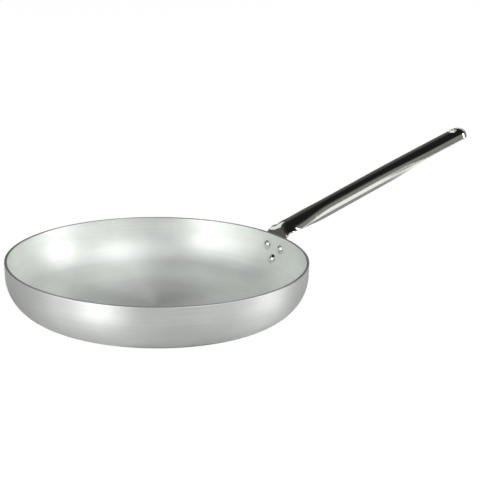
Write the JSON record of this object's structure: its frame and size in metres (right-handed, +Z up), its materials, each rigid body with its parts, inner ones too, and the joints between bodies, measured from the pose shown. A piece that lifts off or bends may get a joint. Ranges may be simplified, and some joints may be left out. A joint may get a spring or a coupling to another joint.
{
  "type": "omelette pan",
  "caption": "Round shallow aluminium pan with a curved wall and a long riveted steel channel handle that rises from the rim and ends in a hanging hole.",
  "frame": {"origin": "centre of the underside of the base, on the axis of the round body", "axes": "+Z up, +X from the axis towards the handle, whose line lies in the XZ plane"},
  "size_m": [0.5971, 0.32, 0.1395],
  "materials": {
    "pan_aluminium": "satin, with fine circumferential spinning marks",
    "handle_steel": "polished",
    "rivet_steel": "polished"
  },
  "bodies": {
    "root": {"pan_body": "pan_aluminium", "handle": "handle_steel", "rivet_left": "rivet_steel", "rivet_right": "rivet_steel", "rivet_lower": "rivet_steel"}
  },
  "joints": []
}
